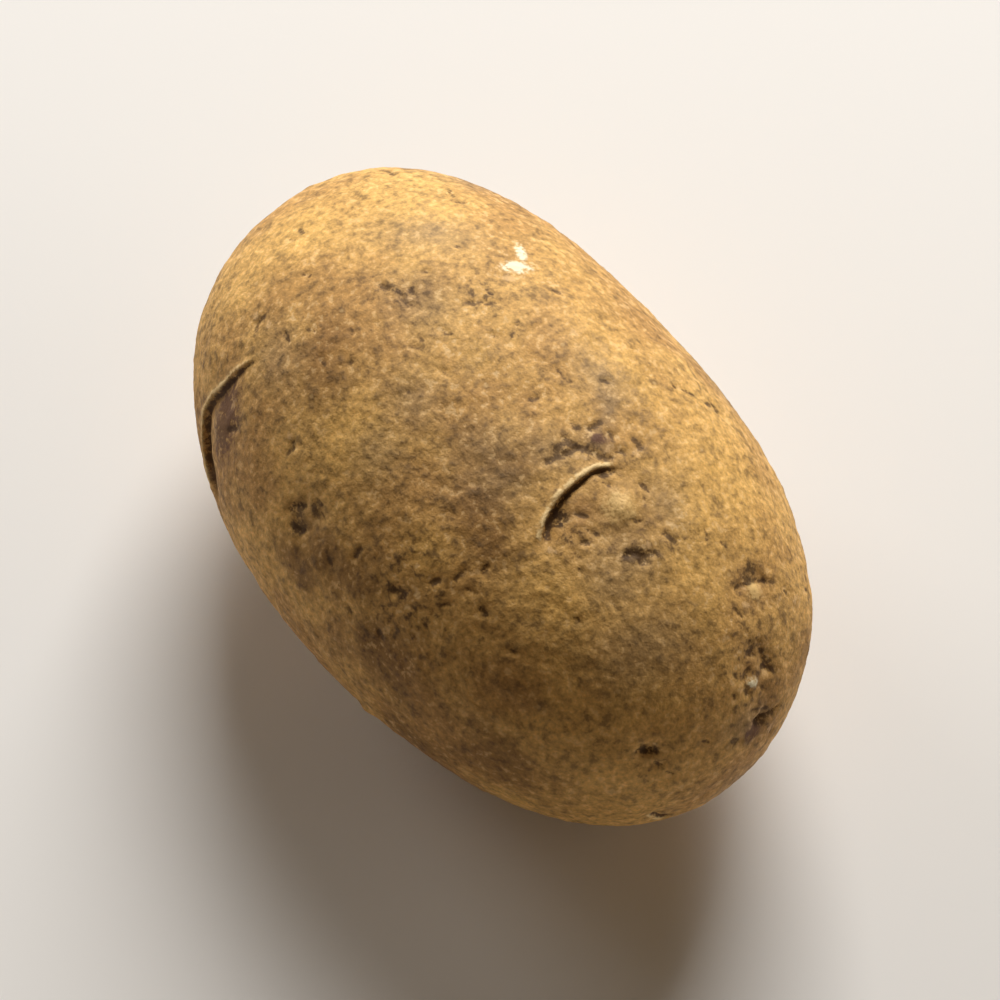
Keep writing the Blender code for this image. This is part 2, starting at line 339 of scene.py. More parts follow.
# %% [markdown]
# ## Small marks
# Between the eyes the skin has pits where grit pressed into it or insects fed, short cracks and nicks
# where it split as the tuber swelled, and low pimples, which are its breathing pores. Each is a small
# dent or bump added to the rule, which is easier to place than a sculpted one. Those that face the
# camera are placed as on the real potato, and the rest are scattered by a seeded draw.

# %% Pits, cracks, nicks and pores
# station, clock, half length, half width, turn from the stem direction, and depth (below 0 for a bump)
PITS = (
    (18.8 * MM, 97.2, 1.6 * MM, 0.9 * MM, -60, 0.5 * MM),
    (13.3 * MM, 36.5, 1.4 * MM, 0.5 * MM, 5, 0.45 * MM),
    (-18.6 * MM, 28.5, 1.7 * MM, 0.8 * MM, 0, 0.5 * MM),
    (-10.7 * MM, 19.0, 1.3 * MM, 0.8 * MM, 0, 0.5 * MM),
    (50.9 * MM, 46.0, 1.0 * MM, 0.6 * MM, -60, 0.6 * MM),
    (47.3 * MM, 125.6, 1.3 * MM, 0.7 * MM, 52, 0.5 * MM),
    (47.4 * MM, 59.8, 0.7 * MM, 0.6 * MM, 0, -0.6 * MM),
    (13.7 * MM, 193.5, 1.6 * MM, 1.0 * MM, 0, -0.5 * MM),
    (21.9 * MM, 82.4, 2.7 * MM, 2.5 * MM, 0, -0.7 * MM),
)
# half width in millimetres, then the station and clock of each place that a crack or nick passes
CRACKS = (
    # the russet band beside the middle eye
    (0.50, (11.7, 92.3), (11.8, 90.1), (12.2, 88.0), (12.3, 85.8), (12.2, 83.9), (12.8, 82.8),
     (13.6, 81.8), (14.6, 80.9), (15.4, 80.0), (15.7, 78.1)),
    (0.55, (10.2, 85.3), (11.1, 84.9), (12.1, 84.8)),
    (0.60, (11.2, 89.3), (10.7, 87.6), (10.7, 86.5)),
    (0.45, (9.0, 81.5), (9.8, 81.5)),
    (0.50, (10.8, 79.0), (10.8, 76.9), (10.7, 75.5)),
    (0.45, (12.4, 75.3), (13.2, 75.1)),
    (0.50, (15.2, 75.8), (15.8, 74.8)),
    (0.45, (14.6, 70.6), (15.5, 70.2), (16.3, 70.3)),
    (0.45, (16.9, 83.1), (17.3, 81.5), (17.3, 79.7)),
    (0.40, (5.4, 68.7), (6.2, 67.3)),
    (0.35, (1.3, 76.4), (2.8, 76.3), (3.7, 75.7)),
    # round that eye's bud, where the second and the third are painted shade beside its dome, and below
    # it
    (0.45, (19.7, 93.5), (20.6, 91.8)),
    (0.45, (20.4, 75.2), (21.0, 74.7), (21.6, 74.3)),
    (0.35, (22.1, 76.4), (23.0, 76.9)),
    (0.50, (23.1, 96.6), (23.5, 95.3)),
    (0.38, (18.0, 83.2), (18.9, 82.4)),
    (0.38, (22.2, 93.5), (23.4, 92.1)),
    (0.36, (24.0, 82.7), (24.7, 80.5)),
    (0.45, (27.5, 76.5), (28.2, 75.7), (29.0, 75.0)),
    (0.50, (27.4, 88.8), (27.8, 86.5), (28.8, 84.7)),
    (0.55, (28.7, 83.8), (29.1, 81.7)),
    (0.50, (29.2, 86.2), (29.7, 84.4)),
    (0.35, (29.1, 65.5), (29.9, 65.5), (30.6, 65.9)),
    (0.35, (31.4, 61.7), (32.2, 60.3)),
    (0.35, (9.6, 49.5), (10.3, 46.9), (11.3, 44.2)),
    (0.50, (13.0, 40.8), (13.0, 38.7)),
    (0.40, (13.9, 38.3), (14.5, 36.9)),
    # the small eyes at the rose end
    (0.42, (37.1, 61.9), (36.9, 59.5), (37.0, 55.8), (37.0, 52.0), (37.3, 48.2), (37.7, 43.0)),
    (0.42, (39.3, 64.6), (39.8, 63.4), (40.4, 61.9)),
    (0.45, (38.6, 38.1), (39.5, 36.6)),
    (0.40, (38.4, 20.7), (38.5, 16.9)),
    (0.42, (43.3, 55.5), (44.0, 54.7), (44.8, 52.5)),
    (0.48, (46.3, 53.1), (46.6, 48.3), (47.0, 43.1)),
    (0.50, (45.4, 51.1), (46.0, 48.0)),
    (0.45, (46.1, 60.8), (46.3, 63.2), (46.8, 64.7)),
    (0.55, (47.9, 65.1), (48.3, 63.8)),
    (0.40, (45.7, 70.3), (46.4, 71.0)),
    (0.40, (47.8, 73.5), (48.3, 72.7)),
    (0.40, (48.0, 54.4), (48.4, 50.8)),
    (0.50, (44.4, 61.7), (44.8, 57.9)),
    (0.45, (43.4, 60.1), (44.0, 58.7)),
    (0.45, (50.1, 55.6), (50.2, 42.0)),
    (0.50, (50.9, 42.8), (50.7, 37.0), (50.4, 32.1)),
    (0.60, (51.1, 50.8), (51.2, 41.9)),
    (0.50, (51.6, 76.9), (51.9, 69.8)),
    (0.40, (50.1, 99.7), (50.5, 97.5)),
    (0.50, (46.6, 128.4), (47.1, 125.7), (48.0, 123.7)),
    (0.40, (46.4, 125.0), (46.8, 124.6)),
    (0.40, (48.9, 129.1), (49.3, 129.1)),
    (0.35, (50.1, 131.5), (50.5, 131.0)),
    # beside the eye at the stem end
    (0.48, (-24.6, 159.4), (-23.3, 154.8)),
    (0.42, (-31.4, 132.9), (-32.0, 131.4), (-32.2, 128.6)),
    (0.34, (-14.1, 140.4), (-14.2, 138.8)),
    (0.38, (-13.8, 142.7), (-13.6, 141.2), (-13.5, 139.5)),
    (0.48, (-8.3, 151.1), (-7.7, 148.6), (-6.8, 147.0)),
    (0.55, (-6.6, 153.8), (-5.6, 153.2), (-4.7, 152.0)),
    (0.38, (-6.0, 142.8), (-4.9, 142.5)),
    (0.38, (-4.3, 144.1), (-3.4, 144.0)),
    (0.40, (-2.1, 149.5), (-1.2, 148.4)),
    # the row of nicks on the upper skin
    (0.50, (-24.1, 96.3), (-23.0, 95.5)),
    (0.42, (-21.8, 93.6), (-20.7, 94.2), (-19.7, 94.2), (-18.9, 94.0)),
    (0.50, (-20.9, 91.1), (-20.0, 91.3)),
    (0.45, (-14.3, 82.4), (-13.6, 81.2), (-13.4, 79.7)),
    (0.42, (-12.5, 79.0), (-12.2, 77.2)),
    (0.35, (-14.7, 76.4), (-13.5, 76.3)),
    (0.42, (-40.8, 108.5), (-40.3, 107.2)),
    (0.42, (-41.5, 102.8), (-40.2, 103.2)),
    (0.40, (-33.3, 111.2), (-32.5, 109.9)),
    (0.38, (-23.4, 72.9), (-22.4, 72.0)),
    (0.42, (-43.2, 51.5), (-41.7, 55.3)),
    (0.40, (-33.4, 53.6), (-32.0, 55.7)),
    (0.45, (-30.7, 57.5), (-30.2, 55.4)),
    (0.36, (-22.3, 85.1), (-21.7, 84.3)),
    (0.38, (-13.3, 92.5), (-12.2, 91.8), (-11.5, 91.2)),
    (0.35, (-14.2, 97.8), (-13.1, 97.4)),
    (0.35, (-7.8, 76.4), (-7.0, 78.3), (-6.4, 80.1)),
    (0.35, (-8.2, 84.0), (-7.4, 82.6)),
    (0.35, (-13.5, 100.8), (-12.5, 99.3)),
    (0.42, (-20.3, 120.2), (-19.1, 120.0)),
    (0.36, (-25.2, 118.7), (-24.3, 117.7)),
    (0.42, (-27.4, 125.2), (-26.0, 124.9)),
    (0.35, (-7.8, 98.1), (-6.6, 97.9)),
    (0.42, (2.9, 86.3), (3.4, 84.7)),
    (0.45, (-10.1, 61.7), (-9.5, 60.7)),
    (0.36, (-20.9, 109.6), (-20.1, 109.8)),
    (0.35, (-8.5, 107.9), (-7.4, 106.9)),
    (0.35, (-17.0, 115.5), (-16.7, 114.2)),
    # the rough band across the lower skin
    (0.70, (11.1, 141.0), (11.7, 140.2), (12.4, 139.9)),
    (0.55, (14.3, 131.8), (14.7, 130.1)),
    (0.45, (17.8, 118.9), (18.0, 120.4)),
    (0.45, (16.2, 126.5), (16.2, 123.6)),
    (0.55, (12.8, 153.5), (13.6, 154.0)),
    (0.50, (21.4, 126.5), (22.0, 126.9)),
    (0.45, (3.8, 143.5), (3.8, 140.8)),
    (0.40, (0.8, 150.4), (1.7, 150.8)),
    (0.40, (7.2, 155.5), (8.3, 155.7)),
    (0.36, (17.0, 141.0), (17.7, 141.5)),
    (0.36, (18.3, 125.8), (19.4, 124.9)),
    (0.40, (23.6, 99.4), (24.6, 99.5)),
    (0.36, (25.4, 101.4), (26.0, 101.0)),
    (0.36, (31.3, 98.8), (32.4, 99.2)),
    (0.36, (30.2, 109.5), (30.9, 109.4)),
    (0.36, (27.6, 128.9), (28.3, 128.1)),
    (0.36, (17.3, 133.6), (18.1, 131.8)),
)
CRACK_DEPTH = 0.28 * MM
# The dark of cracks and pits is partly painted shade, so it pales as they get shallower
FULL_CRACK = 0.50 * MM  # a crack with a smaller half width is shallower and paler
FULL_PIT = 0.40 * MM  # a pit less deep than this is paler
SCATTER_SEED = 11
SCATTERED_PITS = 36
PIT_HALF_LENGTH = (0.6, 1.5)  # in millimetres, from the least to the most
PIT_HALF_WIDTH = (0.35, 0.6)
PIT_DEPTH = 0.45 * MM
PORES = 260
PORE_RADIUS = (0.5 * MM, 0.95 * MM)
PORE_HEIGHT = (-0.10 * MM, 0.14 * MM)

# Stolon scar, where the tuber hung from its runner
SCAR_STATION = -52.0 * MM
SCAR_CLOCK = 262
SCAR_RADIUS = 4.2 * MM
SCAR_DEPTH = 1.3 * MM
STUB_RADIUS = 1.3 * MM
STUB_HEIGHT = 1.0 * MM


def random_directions(count, draw):
    """Directions spread evenly all round, from a seeded draw."""
    directions = draw.normal(size=(count, 3))
    return directions / np.linalg.norm(directions, axis=1)[:, None]


def scattered_pits():
    """Pits for the sides that the camera doesn't see."""
    draw = np.random.default_rng(SCATTER_SEED)
    pits = []
    while len(pits) < SCATTERED_PITS:
        direction = random_directions(1, draw)[0]
        # Not on the upper side, which has its own pits, and not on the very ends
        if direction[2] > 0.1 or abs(direction[0]) > 0.97:
            continue
        station = direction[0] * HALF[0]
        clock = math.degrees(math.atan2(direction[2], direction[1])) % 360
        half_length = draw.uniform(*PIT_HALF_LENGTH) * MM
        half_width = draw.uniform(*PIT_HALF_WIDTH) * MM
        pits.append((station, clock, half_length, half_width, draw.uniform(-90, 90), PIT_DEPTH))
    return tuple(pits)


def pit_relief(points, pit):
    """How far a pit lowers each point, and its mask from 0 to 1."""
    station, clock, half_length, half_width, turn, depth = pit
    place, across, ahead = local_axes(station, clock, turn)
    offset = points - place
    inside = np.exp(-((offset @ ahead / half_length) ** 2) - (offset @ across / half_width) ** 2)
    inside *= np.linalg.norm(offset, axis=1) < 4 * half_length
    return -depth * inside, inside


def crack_relief(points, outward, crack):
    """How far a crack lowers each point, and its mask from 0 to 1."""
    half_width, *path = crack
    line = np.array([smooth_tuber(direction_of(s * MM, c)[None, :])[0] for s, c in path])
    beside = beside_brow(points, outward, line)[0]
    inside = np.exp(-((beside / (half_width * MM)) ** 2)) * min(1.0, half_width * MM / FULL_CRACK)
    return -CRACK_DEPTH * inside, inside


def pore_relief(points):
    """Low pimples and dimples, one for each breathing pore."""
    draw = np.random.default_rng(SCATTER_SEED + 1)
    rise = np.zeros(len(points))
    for place in smooth_tuber(random_directions(PORES, draw)):
        radius = draw.uniform(*PORE_RADIUS)
        height = draw.uniform(*PORE_HEIGHT)
        near = np.abs(points[:, 0] - place[0]) < 3 * radius
        away = np.linalg.norm(points[near] - place, axis=1)
        rise[near] += height * np.exp(-((away / radius) ** 2))
    return rise


def scar_relief(points):
    """The dish and the dry stub that the runner left, and the dish's mask."""
    place = local_axes(SCAR_STATION, SCAR_CLOCK)[0]
    away = np.linalg.norm(points - place, axis=1)
    dish = np.exp(-((away / SCAR_RADIUS) ** 4))
    stub = 1 - smoothstep(0.7 * STUB_RADIUS, 1.4 * STUB_RADIUS, away)
    return STUB_HEIGHT * stub - SCAR_DEPTH * dish, dish


all_pits = PITS + scattered_pits()
print(len(all_pits), "pits,", len(CRACKS), "cracks and", PORES, "pores")

# %% [markdown]
# ## A mesh for the skin
# An icosphere would do, but its triangles come out long and thin once it is stretched to twice its
# width. So the mesh starts as a cube. Its long edges are cut in two first, and then every edge into the
# same number of pieces, which gives quads of about half a millimetre all over the tuber.

# %% Cut a cube into fine quads
CUTS = 97  # for each half of a long edge, which makes just under 200,000 triangles

bpy.ops.object.select_all(action="DESELECT")
bpy.ops.mesh.primitive_cube_add(size=2)
skin = bpy.context.object
skin.name = skin.data.name = "potato_skin"
bpy.ops.object.mode_set(mode="EDIT")
bpy.ops.mesh.select_mode(type="EDGE")
bpy.ops.mesh.select_all(action="DESELECT")
bpy.ops.object.mode_set(mode="OBJECT")
for edge in skin.data.edges:
    first, second = (skin.data.vertices[i].co for i in edge.vertices)
    edge.select = abs(first.x - second.x) > 1
bpy.ops.object.mode_set(mode="EDIT")
bpy.ops.mesh.subdivide(number_cuts=1)
bpy.ops.mesh.select_all(action="SELECT")
bpy.ops.mesh.subdivide(number_cuts=CUTS)
bpy.ops.object.mode_set(mode="OBJECT")
print("the skin has", len(skin.data.polygons), "quads")

# %% [markdown]
# ## Shape the skin
# Each corner of the cube's mesh gives a direction, and the rule gives the place of the skin in that
# direction. A tangent evens the directions out, since a cube blown up to a ball has its corners crowded
# together. The relief of the eyes, the pits, the cracks, the pores and the scar is then added along the
# outward normal. The masks that come with it are kept for the colours.

# %% Move every corner to its place on the tuber
FLAT_CUT = 0.55 * MM
FLAT_BLEND = 0.4 * MM

corners = np.empty(3 * len(skin.data.vertices), np.float32)
skin.data.vertices.foreach_get("co", corners)
evened = np.tan(corners.reshape(-1, 3).astype(float) * math.pi / 4)
directions = gathered(evened / np.linalg.norm(evened, axis=1)[:, None])
smooth = smooth_tuber(directions)

outward = outward_at(directions)
rise, scar_mask = scar_relief(smooth)
rise = rise + pore_relief(smooth)
fold_shade_mask, rim_highlight_mask, hollow_mask, bud_mask, pit_mask, crack_mask = np.zeros((6, len(smooth)))
for eye, line in zip(EYES, BROW_LINES):
    eye_rise, fold, rim, hollow, bud = eye_relief(smooth, outward, eye, line)
    rise += eye_rise
    fold_shade_mask = np.maximum(fold_shade_mask, fold)
    rim_highlight_mask = np.maximum(rim_highlight_mask, rim)
    hollow_mask = np.maximum(hollow_mask, hollow)
    bud_mask = np.maximum(bud_mask, bud)
for pit in all_pits:
    pit_rise, inside = pit_relief(smooth, pit)
    rise += pit_rise
    depth = pit[-1]
    if depth > 0:
        pit_mask = np.maximum(pit_mask, inside * min(1.0, depth / FULL_PIT))
for crack in CRACKS:
    crack_rise, inside = crack_relief(smooth, outward, crack)
    rise += crack_rise
    crack_mask = np.maximum(crack_mask, inside)

points = smooth + outward * rise[:, None]
skin.data.vertices.foreach_set("co", points.astype(np.float32).ravel())
skin.data.update()
bpy.ops.object.shade_smooth()
print("relief from", round(rise.min() / MM, 2), "to", round(rise.max() / MM, 2), "mm")

# %% [markdown]
# ## Cork grain
# The skin is a thin layer of cork that stretched as the tuber swelled, so it is faintly lumpy all over.
# That has no pattern, so three Displace modifiers with cloud textures do it: one for the broad
# unevenness that catches the light, one for the lumps, a few millimetres across, and one for the grain.

# %% Displace and apply
ROUGHNESS_OF_SKIN = (
    # name, size of the lumps, height
    ("flesh unevenness", 7.0 * MM, 0.45 * MM),
    ("cork lumps", 2.6 * MM, 0.24 * MM),
    ("cork grain", 1.3 * MM, 0.16 * MM),
)
for name, lump, height in ROUGHNESS_OF_SKIN:
    clouds = bpy.data.textures.new(name, "CLOUDS")
    clouds.noise_scale = lump
    clouds.noise_depth = 2
    displace = skin.modifiers.new(name, "DISPLACE")
    displace.texture = clouds
    displace.texture_coords = "LOCAL"
    displace.mid_level = 0.5
    displace.strength = height
    bpy.ops.object.modifier_apply(modifier=displace.name)

# %% [markdown]
# ## Rest it on its flat spot
# Below a plane just above its lowest point the solid is pressed flat. The skin gets the same flat spot,
# is centred over it and is brought just inside the solid's box, so that it keeps the solid's size.

# %% Flatten the underside and fit the box
JUST_INSIDE = 0.9998

settled = np.empty(3 * len(skin.data.vertices), np.float32)
skin.data.vertices.foreach_get("co", settled)
settled = settled.reshape(-1, 3).astype(float)
above = settled[:, 2] - (smooth[:, 2].min() + FLAT_CUT)
settled[:, 2] = np.where(above > 0, above * above / (above + FLAT_BLEND), 0)
middle = (settled.min(axis=0) + settled.max(axis=0)) / 2
settled[:, :2] -= middle[:2]
size = settled.max(axis=0) - settled.min(axis=0)
solid_size = np.array(high - low)
settled *= np.minimum(1, JUST_INSIDE * solid_size / size)
settled += [(low.x + high.x) / 2, (low.y + high.y) / 2, 0]
skin.data.vertices.foreach_set("co", settled.astype(np.float32).ravel())
skin.data.update()
print("the skin was", np.round(size / MM, 2), "mm and the solid is", np.round(solid_size / MM, 2), "mm")

# %% [markdown]
# ## Where the colours change
# Soil sticks in some places and rubs off in others, the cork flakes here and thickens to russet there,
# and knocks leave bruises. The patches of soil on the near lower flank also stand for the shade that
# falls there, so they are partly painted shade. Each patch is a soft oval at a place on the skin, and
# each kind is stored in the mesh as an attribute from 0 to 1 which the material reads. Painting by hand
# would need an image, and an attribute needs none.

# %% Patches of soil, dust, rubbed and flaking skin, russet, bruises and scuffs
# For each kind, the places that it takes: station, clock, half length, half width, and turn from the
# stem direction, in millimetres and degrees
PATCHES = {
    # where the soil has been rubbed off, and the skin is golden and a little smoother
    "rubbed": (
        (-29.7, 70.5, 9, 7, 0), (-8, 124, 6, 7, 20), (26.9, 108, 6, 5, 0), (46.8, 156, 8, 7, 0),
        (27, 66, 7, 5, 0), (8, 60, 12, 4, 0), (33, 74, 5, 3, 20), (1, 62, 16, 6, -10),
        (24, 50, 12, 6, 0), (-40, 106, 7, 6, 0), (21.9, 81.8, 2.7, 2.5, 0), (-6.5, 90, 3.5, 3.5, 0),
        (10.9, 127.5, 5, 4, 0), (44, 106, 7, 6, 50), (37.5, 74, 4, 4, 0),
    ),
    # where a film of soil dulls it; on the near lower flank it is also painted shade
    "soil": (
        (15, 160, 9, 7, 0), (36, 166, 9, 7, 0), (3, 149, 10, 6, 20), (13, 112, 8, 5, -30),
        (-19, 121, 8, 6, -40), (-2, 160, 6, 4, 0), (9, 100, 6, 3.5, 50), (-22, 5, 9, 5, 20),
        (26, -4, 10, 6, 10), (-44, 20, 4, 6, 0),
    ),
    # where dried mud has left it grey
    "ash": (
        (12.8, 78.4, 2.2, 1.8, 0), (9.6, 72.1, 3.2, 1.6, -38), (51, 62, 2.5, 5, 0), (14, -12, 5, 3, 40),
    ),
    # where the film is thin and grey-brown
    "dusty": (
        (38, 100, 6, 7, 0), (-27.7, 76, 7, 3.5, 40), (-18.1, 91, 6, 5, 0), (-6.5, 108, 5, 4, 0),
        (5.5, 101, 6, 4.5, 50), (10.5, 90, 6, 3.5, 50), (-4.2, 122, 4, 4, 0), (27.7, 88, 5, 5, 50),
        (29, 96, 5, 4, 0), (9.5, 104, 6, 4, 50), (24.1, 72, 4, 3, 0), (5, 68, 5, 3, 0),
        (-25.3, 131, 5, 4, 0), (6, 12, 9, 5, -30), (-36, 30, 5, 6, 0),
    ),
    # brown where it was knocked
    "bruise": (
        (-26, 159, 6, 3.2, -64), (12.6, 78.1, 1.2, 0.7, 50), (51.6, 52, 1.6, 1.6, 0),
    ),
    # rougher and darker skin, with more scurf and specks
    "russet": (
        (12.6, 82.5, 6.5, 2.2, 56), (21, 98.5, 3.5, 2.5, 0), (27, 84, 5, 2.5, 52),
        (-14.5, 78.7, 2.6, 2, 0), (-21, 93.5, 3.5, 2, 30), (12, 139, 6, 9, 20), (46, 62, 6, 4, 0),
        (37.5, 52, 3, 4, 0), (48, 127, 3, 3, 0), (-26, 163, 6, 4, 20), (-31, 14, 6, 4, 30),
        (36, 8, 5, 4, 0),
    ),
    # small dark spots, most of them in a hollow, where they are painted shade
    "dark spot": (
        (-7.2, 149.8, 1.5, 1.1, 20), (-5.4, 152.6, 1.8, 1.1, 60), (-5, 145, 1.4, 1, -20),
        (36.5, 56.8, 1.1, 0.9, 0), (35.7, 53.2, 1, 1.2, 40), (27.9, 87, 1.2, 2.2, 0),
        (18.8, 97, 1.5, 1.3, 0),
    ),
    # where the cork peels in pale flecks
    "flaky": (
        (-5, 92, 10, 7, 0), (-12, 84, 7, 5, 0), (13.5, 76, 6, 4, 50), (27, 80, 5, 6, 0),
        (44, 62, 8, 6, 0), (-28, 122, 6, 4, 40), (-18, 62, 7, 4, 0), (13, 139, 6, 8, 20),
        (-6, 4, 7, 5, 0),
    ),
    # small scuffs, and painted highlights on the lit edges of a few pits
    "pale": (
        (-14.6, 69, 1.6, 0.7, 60), (-15.2, 138.6, 0.8, 0.6, 0), (14.5, 77.6, 1.2, 0.6, -83),
        (16.5, 71.6, 0.9, 0.8, 0), (13.6, 85, 0.5, 1.4, -38), (19.6, 94, 0.7, 0.6, 0),
        (21.6, 104, 0.9, 0.6, 0), (-19.7, 93, 0.8, 0.5, 60), (37.5, 58, 0.8, 0.5, 0),
        (39.3, 59.1, 1, 0.5, 60), (39.9, 31.7, 1.4, 0.5, -38), (40.1, 42.8, 1.3, 0.5, -38),
        (46.4, 73.3, 0.9, 0.5, -10), (51.5, 26.2, 0.9, 0.6, 0), (-33.3, 131.1, 0.8, 0.6, 0),
        (-30.5, 128.2, 0.8, 0.6, 0), (-26.3, 152.6, 0.7, 1.2, 0), (27.8, 82, 0.7, 0.6, 0),
    ),
    # where a flake of cork has come off and the skin is almost white
    "flake": (
        (-18.2, 59.3, 2.2, 0.8, -33), (-15.9, 64.8, 2.3, 1.3, 62), (47.4, 59.8, 1, 0.8, 60),
    ),
}
HIDDEN_PATCHES = 34
HIDDEN_KINDS = ("rubbed", "dusty", "soil", "flaky", "russet", "dark spot")
HIDDEN_HALF_LENGTH = (4, 10)  # in millimetres, from the least to the most
DARK_SPOT_HALF_LENGTH = (1.5, 2.5)
HIDDEN_WIDTH = 0.7  # as a share of the length


def hidden_patches():
    """More patches, each with its kind, for the sides that the camera doesn't see."""
    draw = np.random.default_rng(SCATTER_SEED + 2)
    patches = []
    while len(patches) < HIDDEN_PATCHES:
        direction = random_directions(1, draw)[0]
        if direction[2] > 0.0:
            continue
        clock = math.degrees(math.atan2(direction[2], direction[1])) % 360
        kind = HIDDEN_KINDS[draw.integers(len(HIDDEN_KINDS))]
        limits = DARK_SPOT_HALF_LENGTH if kind == "dark spot" else HIDDEN_HALF_LENGTH
        half = draw.uniform(*limits)
        station = direction[0] * HALF[0] / MM
        patches.append((kind, (station, clock, half, HIDDEN_WIDTH * half, draw.uniform(-60, 60))))
    return patches


def patch_mask(points, patch):
    """1 in the middle of a patch, dying away outwards."""
    station, clock, half_length, half_width, turn = patch
    place, across, ahead = local_axes(station * MM, clock, turn)
    offset = (points - place) / MM
    spread = (offset @ ahead / half_length) ** 2 + (offset @ across / half_width) ** 2
    return np.exp(-spread) * (np.linalg.norm(offset, axis=1) < 3 * half_length)


masks = {kind: np.zeros(len(smooth)) for kind in PATCHES}
placed = [(kind, patch) for kind, patches in PATCHES.items() for patch in patches]
for kind, patch in placed + hidden_patches():
    masks[kind] = np.maximum(masks[kind], patch_mask(smooth, patch))
masks.update({"fold": fold_shade_mask, "rim": rim_highlight_mask, "hollow": hollow_mask, "bud": bud_mask,
              "pit": pit_mask, "crack": crack_mask, "scar": scar_mask})
for name, values in masks.items():
    attribute = skin.data.attributes.new(name, "FLOAT", "POINT")
    attribute.data.foreach_set("value", values.astype(np.float32))
print(len(placed), "patches placed and", HIDDEN_PATCHES, "scattered, as", ", ".join(masks))

# %% [markdown]
# ## The skin's material
# Potato skin is cork: dry dead cells, matt, warm brown and a little translucent over yellow flesh. A
# film of fine soil dulls it, and on the near lower flank the soil's brown is also painted shade. Under a
# lens it has scurf, which is fine wandering cracks, with darker specks and pale breathing pores. So the
# colour is built up in layers, from the broad to the fine, and each layer's scale is a real size. A
# painted image would do too, but it blurs when seen from nearby.


# %% Two helpers: a colour from its hex value, and a node with its links
def linear(hex_value):
    """An sRGB hex colour as the linear RGBA that the nodes take."""
    channels = [int(hex_value[i : i + 2], 16) / 255 for i in (1, 3, 5)]
    curved = [c / 12.92 if c <= 0.04045 else ((c + 0.055) / 1.055) ** 2.4 for c in channels]
    return (*curved, 1.0)


def add(tree, kind, settings=None, sockets=None):
    """Adds a node, sets its properties, and sets or links its input sockets."""
    made = tree.nodes.new(kind)
    for name, value in (settings or {}).items():
        setattr(made, name, value)
    for key, value in (sockets or {}).items():
        if isinstance(value, bpy.types.NodeSocket):
            tree.links.new(value, made.inputs[key])
        else:
            made.inputs[key].default_value = value
    return made


print("cork tan in linear light:", [round(c, 3) for c in linear("#CDA15C")])

# %% Noise at five real sizes
PER_MM = 1000.0  # a texture scale of this makes features a millimetre across

cork = bpy.data.materials.new("potato cork with a film of soil")
cork.use_nodes = True
tree = cork.node_tree
tree.nodes.clear()
place = add(tree, "ShaderNodeTexCoord").outputs["Object"]
mask = {
    name: add(tree, "ShaderNodeAttribute", {"attribute_name": name}).outputs["Fac"] for name in masks
}
NOISES = {
    # feature size in millimetres, detail, roughness, distortion. The cork's own grain is a tenth of a
    # millimetre, too fine to show, so it is drawn at half a millimetre.
    "patch": (16.0, 3.0, 0.55, 0.0),
    "blotch": (4.5, 3.0, 0.60, 0.4),
    "scurf": (2.4, 2.0, 0.50, 0.0),
    "speck": (1.3, 3.0, 0.60, 0.0),
    "grain": (0.5, 2.0, 0.50, 0.0),
}
noise = {
    name: add(tree, "ShaderNodeTexNoise", None,
              {"Vector": place, "Scale": PER_MM / size, "Detail": detail, "Roughness": rough,
               "Distortion": distortion}).outputs["Fac"]
    for name, (size, detail, rough, distortion) in NOISES.items()
}
print("noises:", ", ".join(noise))

# %% Broad colours: golden where clean, dull brown under soil and its painted shade
# Clean cork gives the eye its warm gold, and the film of soil takes the warmth and the shine away. The
# soil's brown is also painted shade where it lies on the near lower flank. The blotches break up the
# edge of the soil. A Mix node for colours takes its share at socket 0, the lower colour at 6 and the
# upper one at 7, and gives the mixed colour at output 2.
patchiness = add(tree, "ShaderNodeMapRange", {"interpolation_type": "SMOOTHSTEP"},
                 {"Value": noise["patch"], "From Min": 0.40, "From Max": 0.64})
broad = add(tree, "ShaderNodeMix", {"data_type": "RGBA"},
            {0: patchiness.outputs["Result"], 6: linear("#CFA159"), 7: linear("#B48749")})
soil_edge = add(tree, "ShaderNodeMath", {"operation": "MULTIPLY_ADD"},
                {0: noise["blotch"], 1: 1.1, 2: -0.60})
soil_amount = add(tree, "ShaderNodeMath", {"operation": "ADD", "use_clamp": True},
                  {0: mask["soil"], 1: soil_edge.outputs[0]})
soil_share = add(tree, "ShaderNodeMapRange", {"interpolation_type": "SMOOTHSTEP"},
                 {"Value": soil_amount.outputs[0], "From Min": 0.05, "From Max": 0.95, "To Max": 0.75})
soiled = add(tree, "ShaderNodeMix", {"data_type": "RGBA"},
             {0: soil_share.outputs["Result"], 6: broad.outputs[2], 7: linear("#865E2B")})
rubbed_share = add(tree, "ShaderNodeMath", {"operation": "MULTIPLY"}, {0: mask["rubbed"], 1: 0.7})
rubbed = add(tree, "ShaderNodeMix", {"data_type": "RGBA"},
             {0: rubbed_share.outputs[0], 6: soiled.outputs[2], 7: linear("#D8A858")})
ash_share = add(tree, "ShaderNodeMath", {"operation": "MULTIPLY"}, {0: mask["ash"], 1: 0.6})
ash_and_dust = add(tree, "ShaderNodeMath", {"operation": "MULTIPLY_ADD", "use_clamp": True},
                   {0: mask["dusty"], 1: 0.50, 2: ash_share.outputs[0]})
ashen = add(tree, "ShaderNodeMix", {"data_type": "RGBA"},
            {0: ash_and_dust.outputs[0], 6: rubbed.outputs[2], 7: linear("#8F7450")})
print("broad colours mixed")

